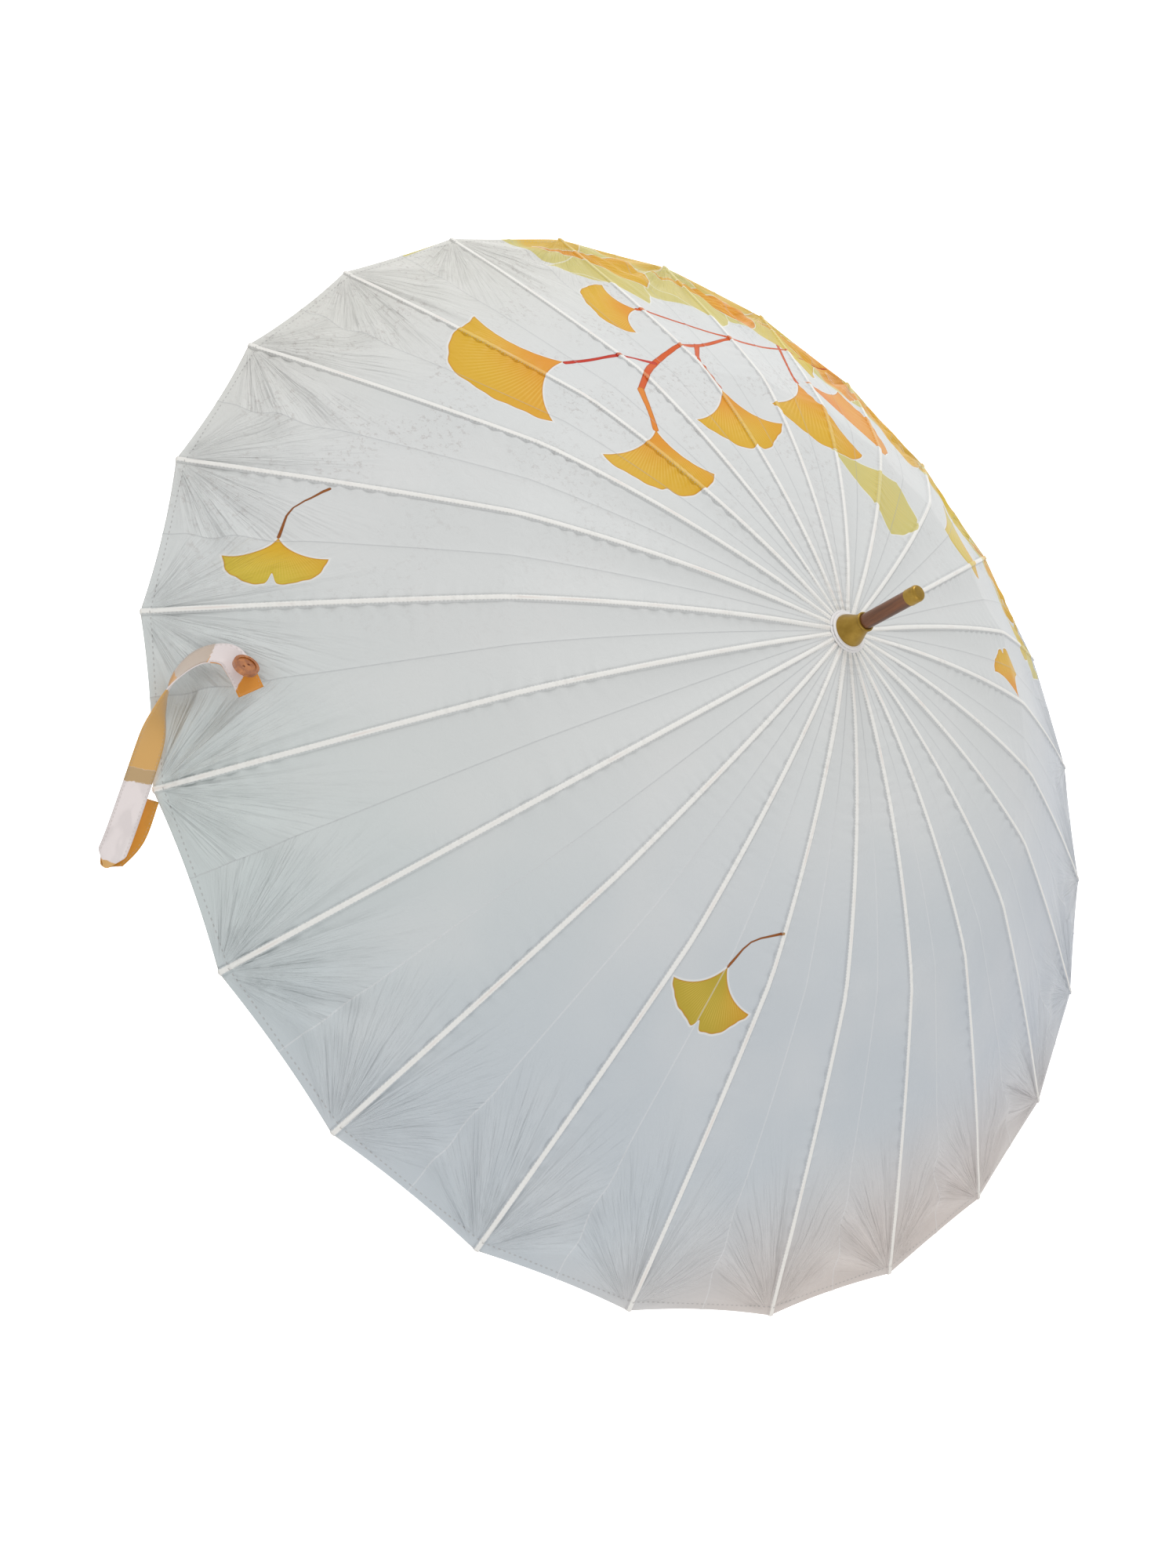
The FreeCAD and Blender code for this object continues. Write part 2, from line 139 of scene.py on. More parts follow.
def smooth_curve(points, steps):
    """Catmull-Rom curve through points, as a list of the same kind of vectors."""
    points = [np.array(p, float) for p in points]
    padded = [2 * points[0] - points[1]] + points + [2 * points[-1] - points[-2]]
    result = []
    for a, b, c, d in zip(padded, padded[1:], padded[2:], padded[3:]):
        for i in range(steps):
            t = i / steps
            result.append(0.5 * (2 * b + (c - a) * t + (2 * a - 5 * b + 4 * c - d) * t * t
                                 + (3 * b - a - 3 * c + d) * t ** 3))
    result.append(points[-1])
    return result


# ------------------------------------------------------------------ canopy surface
def wobble(gore, order):
    """A repeatable number from 0 to 1 for one gore."""
    return (math.sin(gore * 12.9898 + order * 78.233) * 43758.5453) % 1.0


def bump(distance, width):
    return np.exp(-(distance / width) ** 2)


def seam_profile(distance, half):
    """The stitched tunnel over a rib: a low flat ridge with a groove on each side."""
    share = np.clip(np.abs(distance) / half, 0, 2)
    ridge = np.sqrt(np.clip(1 - share ** 4, 0, 1))
    valley = 0.22 * bump(share, 0.20)
    groove = 0.28 * bump(share - 1.15, 0.16)
    return SEAM_HEIGHT * (ridge - valley - groove)


def gore_lift(gore, radius, across):
    """How far the cloth stands off its flat gore, where across runs 0 to 1 between two ribs."""
    chord = 2 * radius * math.sin(STEP / 2)
    share = radius / RIM_RADIUS
    half = np.minimum(SEAM_HALF, 0.14 * chord)
    left, right = across * chord, (1 - across) * chord
    middle = 4 * across * (1 - across)
    kink_gap = radius - KINK_SHARE * RIM_RADIUS

    lift = np.zeros_like(radius)
    for side, distance in enumerate((left, right)):
        rib = gore + side
        phase = 6.28 * wobble(rib, 1)
        thread = 1 - 0.55 * bump(kink_gap, 0.0035)
        lift += seam_profile(distance, half) * thread * (half / SEAM_HALF)
        pucker = np.sin(2 * math.pi * radius / 0.0135 + phase + 2.1 * np.sin(radius * 37 + phase))
        patchy = np.clip(0.55 + 0.9 * np.sin(radius * (21 + 9 * wobble(rib, 2)) + 3 * phase), 0, 1)
        reach = np.clip(distance - half, 0, None)
        beside = np.exp(-reach / 0.009) * np.clip(share * 3, 0, 1) * (distance > half * 0.9)
        lift += PUCKER * pucker * patchy * beside
        tip = np.hypot(RIM_RADIUS - radius, distance)
        turn = np.arctan2(distance, RIM_RADIUS - radius + 1e-6)
        fan = np.sin(turn * (11 + 4 * wobble(rib, 5 + side)) + phase)
        strength = TIP_FOLD * (0.35 + 0.65 * wobble(gore, 7 + side))
        near_tip = bump(tip - 0.062, 0.045) * np.clip(tip / 0.02, 0, 1)
        lift += strength * fan * np.sin(turn * 2).clip(0, 1) * near_tip

    lift -= 0.0030 * middle * np.sin(np.pi * np.clip(share, 0, 1)) ** 0.8
    lift += 0.0009 * middle * np.sin(radius * (16 + 8 * wobble(gore, 3)) + 6.28 * wobble(gore, 4))
    crease = (across - 0.5) * chord
    width = np.minimum(CREASE_WIDTH, 0.06 * chord)
    lift += 0.00045 * np.exp(-np.abs(crease) / width) * np.clip(share * 6 - 1, 0, 1)
    hem = RIM_RADIUS - radius
    lift += 0.0004 * (hem < HEM_WIDTH) - 0.0003 * bump(hem - HEM_WIDTH, 0.0007)
    return lift


def strip_radii():
    body = np.linspace(STRIP_START, RIM_RADIUS - HEM_WIDTH - 0.0012, 134)
    hem = RIM_RADIUS - np.array([0.0076, 0.0070, 0.0064, 0.0045, 0.0025, 0.0010, 0.0])
    return np.concatenate([body, hem])


def strip_sides(radius):
    """Distances from the rib out to the crease in the middle of the gore, for each radius."""
    reach = radius[:, None] * math.sin(STEP / 2)
    half = np.minimum(SEAM_HALF, 0.28 * reach)
    crease = np.minimum(CREASE_WIDTH, 0.12 * reach)
    seam = half * np.array([0, 0.3, 0.6, 0.85, 1.0, 1.15, 1.35, 1.8])
    start, end = 1.8 * half, reach - 2.2 * crease
    field = start + (end - start) * np.linspace(0, 1, 13)[1:]
    fold = reach - crease * np.array([1.2, 0.6, 0.25, 0])
    return np.concatenate([seam, field, fold], 1), reach


def make_strip(number):
    azimuth = STEP * (number - 1)
    nominal = strip_radii()
    sides, reach = strip_sides(nominal)
    distance = np.concatenate([-sides[:, :0:-1], sides], 1)
    across = np.abs(distance) / (2 * reach)
    way = np.sign(distance)
    pull = np.clip((nominal - STRIP_START) / (RIM_RADIUS - STRIP_START), 0, 1)[:, None] ** 3
    radius = nominal[:, None] * (1 - RIM_CURVE * pull * 4 * across * (1 - across))

    gore_right = gore_lift(number, radius, across)
    gore_left = gore_lift(number - 1 if number > 1 else RIB_COUNT, radius, 1 - across)
    lift = np.where(way >= 0, gore_right, gore_left)
    lift = np.where(distance == 0, 0.5 * (gore_right + gore_left), lift)

    out = radius * (1 - across + across * math.cos(STEP))
    side = radius * across * math.sin(STEP) * way
    height = RIM_Z + canopy_height(radius)
    slope = np.gradient(canopy_height(nominal), nominal)[:, None]
    lean = way * (STEP / 2) * np.clip(across / 0.08, 0, 1)
    normal_out, normal_up = -slope, np.ones_like(slope)
    length = np.hypot(normal_out, normal_up)
    out = out + lift * normal_out / length * np.cos(lean)
    side = side + lift * normal_out / length * np.sin(lean)
    height = height + lift * normal_up / length

    x = out * math.cos(azimuth) - side * math.sin(azimuth)
    y = out * math.sin(azimuth) + side * math.cos(azimuth)
    points = np.stack([x, y, height], -1).reshape(-1, 3)
    rows, columns = distance.shape
    strip = new_object("canopy_%02d" % number, points, grid_faces(rows, columns))

    share = radius / RIM_RADIUS
    plan_out = share * (1 - across + across * math.cos(STEP))
    plan_side = share * across * math.sin(STEP) * way
    plan = np.stack([plan_out * math.cos(azimuth) - plan_side * math.sin(azimuth),
                     plan_out * math.sin(azimuth) + plan_side * math.cos(azimuth),
                     np.zeros_like(share)], -1)
    point_attribute(strip, "print_place", plan.reshape(-1, 3))
    to_crease = reach - np.abs(distance)
    seam = np.stack([distance, radius + 0 * distance, to_crease], -1) * 1000
    point_attribute(strip, "seam_place", seam.reshape(-1, 3))

    thick = strip.modifiers.new("cloth thickness", "SOLIDIFY")
    thick.thickness = CLOTH
    thick.offset = -1
    strip.data.materials.append(make_cloth(number))

    body = "rib_%02d" % number
    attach(strip, body)
    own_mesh(strip)
    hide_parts("canopy")


# ------------------------------------------------------------------ shader helpers
class Nodes:
    """Short names for building a node tree: every call adds a node and returns its output."""

    def __init__(self, tree):
        self.tree = tree

    def add(self, kind, **settings):
        node = self.tree.nodes.new(kind)
        for key, value in settings.items():
            setattr(node, key, value)
        return node

    def put(self, socket, value):
        if isinstance(value, bpy.types.NodeSocket):
            self.tree.links.new(value, socket)
        elif value is not None:
            socket.default_value = value

    def math(self, operation, a, b=None, c=None, clamp=False):
        node = self.add("ShaderNodeMath", operation=operation, use_clamp=clamp)
        for socket, value in zip(node.inputs, (a, b, c)):
            self.put(socket, value)
        return node.outputs[0]

    def times(self, a, b):
        return self.math("MULTIPLY", a, b)

    def vector(self, operation, a, b=None, output=0):
        node = self.add("ShaderNodeVectorMath", operation=operation)
        self.put(node.inputs[0], a)
        if b is not None:
            self.put(node.inputs[1], b)
        return node.outputs[output]

    def split(self, vector):
        node = self.add("ShaderNodeSeparateXYZ")
        self.put(node.inputs[0], vector)
        return node.outputs[0], node.outputs[1], node.outputs[2]

    def join(self, x, y, z=0.0):
        node = self.add("ShaderNodeCombineXYZ")
        for socket, value in zip(node.inputs, (x, y, z)):
            self.put(socket, value)
        return node.outputs[0]

    def step(self, value, low, high):
        """Smoothly from 0 at low to 1 at high."""
        node = self.add("ShaderNodeMapRange", interpolation_type="SMOOTHSTEP")
        for name, number in (("Value", value), ("From Min", low), ("From Max", high)):
            self.put(node.inputs[name], number)
        return node.outputs[0]

    def fall(self, value, low, high):
        """Smoothly from 1 at low to 0 at high."""
        return self.math("SUBTRACT", 1.0, self.step(value, low, high))

    def mix(self, share, a, b, blend="MIX"):
        node = self.add("ShaderNodeMix", data_type="RGBA", blend_type=blend)
        for socket, value in ((node.inputs[0], share), (node.inputs[6], a), (node.inputs[7], b)):
            self.put(socket, value)
        return node.outputs[2]

    def noise(self, vector, scale, detail=3.0, rough=0.5, distort=0.0):
        node = self.add("ShaderNodeTexNoise")
        self.put(node.inputs["Vector"], vector)
        for name, number in (("Scale", scale), ("Detail", detail), ("Roughness", rough),
                             ("Distortion", distort)):
            node.inputs[name].default_value = number
        return node.outputs["Fac"]

    def attribute(self, name):
        return self.add("ShaderNodeAttribute", attribute_name=name).outputs["Vector"]

    def bump(self, height, distance, strength=1.0, normal=None):
        node = self.add("ShaderNodeBump")
        node.inputs["Strength"].default_value = strength
        node.inputs["Distance"].default_value = distance
        self.put(node.inputs["Height"], height)
        if normal is not None:
            self.put(node.inputs["Normal"], normal)
        return node.outputs[0]


def new_material(name, **sockets):
    material = bpy.data.materials.new(name)
    material.use_nodes = True
    shader = material.node_tree.nodes["Principled BSDF"]
    for key, value in sockets.items():
        shader.inputs[key.replace("_", " ")].default_value = value
    return material, Nodes(material.node_tree), shader


def colour(red, green, blue):
    return (red, green, blue, 1.0)


def new_group(name, inputs, outputs):
    group = bpy.data.node_groups.new(name, "ShaderNodeTree")
    for label, kind in inputs:
        group.interface.new_socket(label, in_out="INPUT", socket_type=kind)
    for label in outputs:
        group.interface.new_socket(label, in_out="OUTPUT", socket_type="NodeSocketFloat")
    n = Nodes(group)
    return group, n, n.add("NodeGroupInput"), n.add("NodeGroupOutput")


# ------------------------------------------------------------------ ginkgo print
def leaf_group():
    """A fan-shaped leaf about its stalk's end, with a wavy edge, a centre slit and radial veins."""
    group, n, source, result = new_group(
        "ginkgo leaf",
        [("Place", "NodeSocketVector"), ("Stalk", "NodeSocketVector"), ("Turn", "NodeSocketFloat"),
         ("Length", "NodeSocketFloat"), ("Spread", "NodeSocketFloat"), ("Slit", "NodeSocketFloat"),
         ("Seed", "NodeSocketFloat")],
        ["Mask", "Halo", "Rim", "Vein", "Out", "Side"])
    place, stalk, turn, length, spread, slit, seed = source.outputs[:7]
    offset = n.vector("SUBTRACT", place, stalk)
    rotate = n.add("ShaderNodeVectorRotate", rotation_type="Z_AXIS")
    n.put(rotate.inputs["Vector"], offset)
    n.put(rotate.inputs["Angle"], n.times(turn, -1.0))
    along, aside, _ = n.split(rotate.outputs[0])
    along = n.math("DIVIDE", along, length)
    aside = n.math("DIVIDE", aside, length)
    out = n.math("SQRT", n.math("ADD", n.times(along, along), n.times(aside, aside)))
    angle = n.math("ARCTAN2", aside, along)
    share = n.math("DIVIDE", angle, spread)
    size = n.math("ABSOLUTE", angle)

    def wave(count, height):
        inside = n.math("ADD", n.times(angle, count), n.times(seed, count))
        return n.times(n.math("SINE", inside), height)

    reach = n.math("SUBTRACT", 1.0, n.times(n.times(share, share), 0.10))
    for count, height in ((5.0, 0.035), (13.0, 0.010), (31.0, 0.004)):
        reach = n.math("ADD", reach, wave(count, height))
    narrow = n.math("DIVIDE", angle, 0.055)
    cut = n.math("EXPONENT", n.times(n.times(narrow, narrow), -1.0))
    reach = n.math("SUBTRACT", reach, n.times(cut, slit))
    opening = n.times(spread, n.math("MULTIPLY_ADD", out, 0.62, 0.38))
    edge_out = n.math("SUBTRACT", reach, out)
    edge_side = n.times(n.math("SUBTRACT", opening, size), out)
    edge = n.math("MINIMUM", edge_out, edge_side)
    edge = n.times(edge, length)
    veins = n.math("SINE", n.math("MULTIPLY_ADD", angle, 60.0, n.times(out, 3.0)))
    veins = n.math("POWER", n.math("ABSOLUTE", veins), 5.0)
    fade = n.times(n.step(out, 0.25, 0.6), n.step(edge_out, 0.0, 0.3))
    for label, value in (("Mask", n.step(edge, 0.0, 0.0012)), ("Halo", n.step(edge, -0.0028, -0.0014)),
                         ("Rim", n.fall(edge, 0.0006, 0.0036)),
                         ("Vein", n.times(veins, fade)), ("Out", out), ("Side", share)):
        n.put(result.inputs[label], value)
    return group


def stalk_group():
    """How far inside a tapered line from one point to another a place is."""
    group, n, source, result = new_group(
        "leaf stalk",
        [("Place", "NodeSocketVector"), ("Start", "NodeSocketVector"), ("End", "NodeSocketVector"),
         ("Start width", "NodeSocketFloat"), ("End width", "NodeSocketFloat")],
        ["Edge"])
    place, start, end, start_width, end_width = source.outputs[:5]
    reach = n.vector("SUBTRACT", end, start)
    offset = n.vector("SUBTRACT", place, start)
    along = n.math("DIVIDE", n.vector("DOT_PRODUCT", offset, reach, 1),
                   n.vector("DOT_PRODUCT", reach, reach, 1), clamp=True)
    scale = n.add("ShaderNodeVectorMath", operation="SCALE")
    n.put(scale.inputs[0], reach)
    n.put(scale.inputs["Scale"], along)
    away = n.vector("LENGTH", n.vector("SUBTRACT", offset, scale.outputs[0]), output=1)
    width = n.math("ADD", n.times(start_width, n.math("SUBTRACT", 1.0, along)),
                   n.times(end_width, along))
    n.put(result.inputs["Edge"], n.math("SUBTRACT", width, away))
    return group


GROUPS = {"leaf": leaf_group(), "stalk": stalk_group()}

GOLD = (0.68, 0.40, 0.030)
AMBER = (0.72, 0.29, 0.020)
LEMON = (0.62, 0.47, 0.060)
PALE = (0.60, 0.53, 0.19)
DEEP = (0.72, 0.22, 0.012)
OLIVE = (0.47, 0.35, 0.04)
RIM_BROWN = (0.50, 0.17, 0.015)
HALO = (0.84, 0.83, 0.80)

# Leaves of the print: stalk end (x, y), direction in degrees, length, half spread in degrees,
# slit depth, inner colour, outer colour. Places and lengths are shares of the rim radius.
LEAVES = [
    # far edge, pale and orange leaves behind the branch
    ((-0.88, 0.12), 75, 0.22, 38, 0.0, PALE, PALE),
    ((-0.84, 0.30), 62, 0.24, 40, 0.0, PALE, PALE),
    ((-0.95, 0.16), 58, 0.25, 16, 0.0, AMBER, GOLD),
    ((-0.72, 0.50), 55, 0.26, 42, 0.0, PALE, LEMON),
    ((-0.86, 0.38), 50, 0.28, 14, 0.0, GOLD, AMBER),
    ((-0.70, 0.62), 40, 0.30, 30, 0.0, GOLD, AMBER),
    ((-0.52, 0.72), 30, 0.30, 32, 0.0, AMBER, GOLD),
    ((-0.34, 0.84), 12, 0.30, 22, 0.0, GOLD, LEMON),
    ((-0.15, 0.80), -62, 0.30, 15, 0.0, PALE, LEMON),
    ((-0.10, 0.88), 8, 0.26, 26, 0.0, AMBER, GOLD),
    ((0.02, 0.82), -8, 0.22, 20, 0.0, PALE, LEMON),
    ((0.10, 0.90), -15, 0.20, 20, 0.0, GOLD, PALE),
    # pale leaves below the branch
    ((-0.34, 0.28), 28, 0.25, 27, 0.0, PALE, PALE),
    # leaves on the branch
    ((-0.47, 0.45), 48, 0.22, 40, 0.0, DEEP, AMBER),
    ((-0.47, 0.42), -42, 0.21, 36, 0.0, AMBER, GOLD),
    ((-0.48, 0.135), -16, 0.140, 55, 0.05, AMBER, GOLD),
    ((-0.71, 0.18), 243, 0.10, 72, 0.0, AMBER, GOLD),
    ((-0.44, -0.07), -33, 0.135, 54, 0.04, AMBER, GOLD),
    ((-0.625, -0.10), 254, 0.178, 60, 0.0, AMBER, GOLD),
    # fallen leaves
    ((-0.52, -0.665), -36, 0.086, 66, 0.20, GOLD, LEMON),
    ((0.34, -0.44), -52, 0.088, 62, 0.14, OLIVE, OLIVE),
    ((0.265, 0.47), 165, 0.100, 58, 0.10, AMBER, GOLD),
]

FAR_BAND = (math.radians(82), math.radians(176))     # where the far leaves start and end round the rim
BARK = (0.64, 0.095, 0.008)
TWIG = (0.34, 0.11, 0.025)

# Branch and stalks: points along each line with its half width there, and a colour.
STALKS = [
    ([(-0.52, -0.03, 0.0055), (-0.56, 0.035, 0.0065), (-0.592, 0.14, 0.005), (-0.595, 0.24, 0.0045),
      (-0.60, 0.37, 0.004), (-0.575, 0.56, 0.003), (-0.54, 0.79, 0.0018)], BARK),
    ([(-0.57, 0.06, 0.005), (-0.60, 0.00, 0.0034), (-0.622, -0.10, 0.0042)], (0.55, 0.03, 0.01)),
    ([(-0.52, -0.03, 0.006), (-0.475, -0.05, 0.0045), (-0.44, -0.07, 0.0055)], DEEP),
    ([(-0.60, 0.35, 0.004), (-0.66, 0.27, 0.003), (-0.71, 0.18, 0.0048)], BARK),
    ([(-0.595, 0.22, 0.006), (-0.545, 0.155, 0.004), (-0.48, 0.135, 0.005)], BARK),
    ([(-0.59, 0.56, 0.004), (-0.50, 0.45, 0.003), (-0.47, 0.42, 0.005)], BARK),
    ([(-0.52, -0.665, 0.0026), (-0.55, -0.625, 0.0014), (-0.553, -0.57, 0.0024)], TWIG),
    ([(0.34, -0.44, 0.0026), (0.328, -0.395, 0.0014), (0.342, -0.345, 0.0022)], TWIG),
]


def on_strip(number, x, y, reach):
    """Whether a disc of this reach round a point of the print may touch a strip."""
    azimuth = STEP * (number - 1)
    out = x * math.cos(azimuth) + y * math.sin(azimuth)
    side = abs(y * math.cos(azimuth) - x * math.sin(azimuth))
    return side - max(out, 0) * math.tan(STEP / 2) < reach and out > -reach


def draw_stalk(n, place, base, number, points, paint):
    """Draws one smooth line of the print over the base colour, where it touches a strip."""
    edge = None
    curve = smooth_curve(points, 3)
    for (x0, y0, w0), (x1, y1, w1) in zip(curve, curve[1:]):
        reach = math.hypot(x1 - x0, y1 - y0) / 2 + w0 + w1
        if not on_strip(number, (x0 + x1) / 2, (y0 + y1) / 2, reach):
            continue
        node = n.add("ShaderNodeGroup", node_tree=GROUPS["stalk"])
        for socket, value in zip(node.inputs, (place, (x0, y0, 0), (x1, y1, 0), w0, w1)):
            n.put(socket, value)
        edge = node.outputs[0] if edge is None else n.math("MAXIMUM", edge, node.outputs[0])
    if edge is None:
        return base
    dark = tuple(0.70 * part for part in paint)
    fill = n.mix(n.step(edge, 0.0006, 0.0026), colour(*dark), colour(*paint))
    return n.mix(n.step(edge, -0.0004, 0.0008), base, fill)


def draw_leaf(n, place, base, order, leaf):
    """Draws one leaf of the print over the base colour."""
    at, turn, length, spread, slit, inner, outer = leaf
    node = n.add("ShaderNodeGroup", node_tree=GROUPS["leaf"])
    values = (place, (at[0], at[1], 0), math.radians(turn), length, math.radians(spread), slit,
              1.7 * order)
    for socket, value in zip(node.inputs, values):
        n.put(socket, value)
    fill = n.mix(n.step(node.outputs["Out"], 0.1, 0.85), colour(*inner), colour(*outer))
    side_tone = outer if outer == PALE else AMBER
    warm = n.times(n.step(node.outputs["Side"], 0.1, 1.0), 0.45)
    fill = n.mix(warm, fill, colour(*side_tone))
    fill = n.mix(n.times(node.outputs["Vein"], 0.35), fill, colour(0.85, 0.60, 0.14))
    rim = PALE if outer == PALE else RIM_BROWN
    fill = n.mix(n.times(node.outputs["Rim"], 0.6), fill, colour(*rim))
    tone = n.mix(n.times(node.outputs["Halo"], 0.5), base, colour(*HALO))
    return n.mix(node.outputs["Mask"], tone, fill)


def draw_far_band(n, place, base):
    """Draws the pale leaves that run together along the far part of the rim."""
    x, y, _ = n.split(place)
    turn = n.math("ARCTAN2", y, x)
    out = n.math("SQRT", n.math("ADD", n.times(x, x), n.times(y, y)))
    start, end = FAR_BAND
    ends = n.times(n.step(turn, start, start + 0.12), n.fall(turn, end - 0.15, end))
    waves = n.times(n.math("SINE", n.times(turn, 11.0)), 0.02)
    inner = n.math("ADD", n.math("SUBTRACT", 1.0, n.times(ends, 0.18)), waves)
    tone = n.mix(n.step(n.math("SUBTRACT", out, inner), 0.0, 0.004), base, colour(*PALE))
    edge = n.times(n.step(out, 0.93, 0.97), n.step(ends, 0.4, 0.7))
    return n.mix(n.times(edge, 0.8), tone, colour(*GOLD))


def draw_print(n, place, base, number):
    """Draws the far band, leaves and stalks that touch one strip over the base colour."""
    middle = STEP * (number - 1)
    near_band = FAR_BAND[0] - STEP < middle < FAR_BAND[1] + STEP
    tone = draw_far_band(n, place, base) if near_band else base
    for order, leaf in enumerate(LEAVES):
        (x, y), turn, length, spread = leaf[:4]
        turn, spread = math.radians(turn), math.radians(spread)
        reach = length * max(0.7, 1.1 * math.sin(spread))
        middle = (x + 0.6 * length * math.cos(turn), y + 0.6 * length * math.sin(turn))
        if on_strip(number, *middle, reach):
            tone = draw_leaf(n, place, tone, order, leaf)
    for points, paint in STALKS:
        tone = draw_stalk(n, place, tone, number, points, paint)
    return tone


# ------------------------------------------------------------------ materials
def make_cloth(number):
    """The cloth of one strip, with the part of the print that falls on it."""
    material, n, shader = new_material("printed satin %02d" % number, Roughness=0.45,
                                       Specular_IOR_Level=0.15)
    place = n.attribute("print_place")
    seam_x, along, to_crease = n.split(n.attribute("seam_place"))
    x, y, _ = n.split(place)

    def toward(east, north, low, high):
        """Rises from 0 to 1 across the canopy in one direction of the plan."""
        return n.step(n.math("MULTIPLY_ADD", y, north, n.times(x, east)), low, high)

    tone = colour(0.665, 0.678, 0.672)
    # Five wide tints across the plan: partly the cloth's own colour, partly painted light, shade and
    # coloured reflections that ride with the canopy.
    for share, way, paint in (
            (0.80, toward(0.25, -0.85, 0.35, 0.95), (0.545, 0.615, 0.600)),
            (0.85, toward(0.90, -0.35, 0.10, 0.62), (0.520, 0.560, 0.600)),
            (0.75, toward(0.70, 0.55, 0.30, 0.75), (0.560, 0.590, 0.640)),
            (0.80, toward(0.95, -0.22, 0.70, 0.96), (0.650, 0.560, 0.505)),
            (0.55, toward(-0.95, -0.05, 0.55, 0.95), (0.690, 0.670, 0.595))):
        tone = n.mix(n.times(way, share), tone, colour(*paint))
    cloud = n.noise(place, 5.0, 2.0)
    tone = n.mix(n.times(n.step(cloud, 0.4, 0.75), 0.22), tone, colour(0.74, 0.73, 0.72))
    fleck = n.step(n.noise(place, 95.0, 5.0, 0.8), 0.52, 0.62)
    region = n.step(n.math("MULTIPLY_ADD", y, 0.35, n.times(x, -0.95)), -0.1, 0.55)
    patch = n.step(n.noise(place, 9.0, 3.0), 0.42, 0.60)
    fleck = n.times(n.times(fleck, region), patch)
    tone = n.mix(n.times(fleck, 0.45), tone, colour(0.40, 0.36, 0.34))

    away = n.math("ABSOLUTE", seam_x)
    seam = n.fall(away, 1.5, 2.3)
    # Lighter cloth over each rib: partly the double layer of the seam, partly a painted highlight on its
    # raised ridge.
    tone = n.mix(n.times(seam, 0.65), tone, colour(0.88, 0.865, 0.84))
    shade = n.times(n.step(away, 2.1, 2.5), n.fall(away, 2.6, 4.0))
    tone = n.mix(n.times(shade, 0.14), tone, colour(0.36, 0.36, 0.37))
    tone = draw_print(n, place, tone, number)
    # The seams lightened again over the print: partly the double layer, partly painted highlight.
    tone = n.mix(seam, tone, colour(0.20, 0.17, 0.09), blend="SCREEN")
    rib_tone = n.step(n.noise(n.join(n.times(x, 9.0), n.times(y, 9.0)), 1.6, 2.0), 0.5, 0.7)
    centre = n.fall(away, 0.2, 1.1)
    pinkish = n.times(n.times(centre, rib_tone), 0.35)
    tone = n.mix(pinkish, tone, colour(0.72, 0.56, 0.50))

    def dashes(distance, middle, pitch):
        """Stitches in a line at one distance, as long as their gaps."""
        line = n.fall(n.math("ABSOLUTE", n.math("SUBTRACT", distance, middle)), 0.22, 0.45)
        return line, n.step(n.math("SINE", n.times(along, 2 * math.pi / pitch)), -0.1, 0.5)

    line, dash = dashes(away, 2.05, 2.6)
    stitch = n.times(line, dash)
    tone = n.mix(n.times(stitch, 0.35), tone, colour(0.50, 0.50, 0.50))
    # Painted shade and highlight on the crease in the middle of each gore: dark grey towards one side of
    # the plan, near white towards the other.
    crease = n.fall(to_crease, 0.15, 0.9)
    crease_light_and_shade = n.mix(toward(0.9, -0.3, 0.1, 0.4), colour(0.42, 0.43, 0.44), colour(0.85, 0.85, 0.86))
    tone = n.mix(n.times(crease, 0.34), tone, crease_light_and_shade)
    hem = n.math("SUBTRACT", RIM_RADIUS * 1000, along)
    hem_line = n.fall(n.math("ABSOLUTE", n.math("SUBTRACT", hem, 6.2)), 0.2, 0.5)
    hem_dash = n.step(n.math("SINE", n.times(seam_x, 2 * math.pi / 4.6)), -0.1, 0.5)
    hem_stitch = n.times(hem_line, hem_dash)
    tone = n.mix(n.times(hem_stitch, 0.6), tone, colour(0.40, 0.39, 0.38))
    fold_edge = n.fall(hem, 0.3, 1.2)
    tone = n.mix(n.times(fold_edge, 0.35), tone, colour(0.52, 0.47, 0.42))
    n.put(shader.inputs["Base Color"], tone)

    weave_x = n.math("SINE", n.times(seam_x, 14.0))
    weave_y = n.math("SINE", n.times(along, 11.0))
    weave = n.times(weave_x, weave_y)
    fine = n.bump(weave, 0.00004, 0.25)
    ripple = n.times(n.math("SINE", n.times(along, 0.85)), n.math("EXPONENT", n.times(away, -0.16)))
    ripple = n.times(ripple, n.step(n.noise(place, 22.0, 2.0), 0.45, 0.62))
    pucker = n.bump(ripple, 0.0005, 0.7, fine)
    crumple = n.bump(n.noise(place, 34.0, 4.0, 0.55, 0.6), 0.0013, 0.5, pucker)
    turn = n.math("ARCTAN2", away, hem)
    from_tip = n.math("SQRT", n.math("ADD", n.times(away, away), n.times(hem, hem)))
    streak_place = n.join(n.times(turn, 5.0), n.times(from_tip, 0.006), 3.7 * number)
    streak = n.noise(streak_place, 1.6, 3.0, 0.6)
    reach = n.times(n.step(from_tip, 4.0, 26.0), n.fall(from_tip, 60.0, 170.0))
    slanted = n.times(n.step(turn, 0.05, 0.25), n.fall(turn, 1.0, 1.5))
    streak = n.times(n.times(streak, reach), slanted)
    crumple = n.bump(streak, 0.012, 0.6, crumple)
    threads = n.math("MAXIMUM", stitch, hem_stitch)
    n.put(shader.inputs["Normal"], n.bump(threads, -0.0002, 0.8, crumple))
    return material


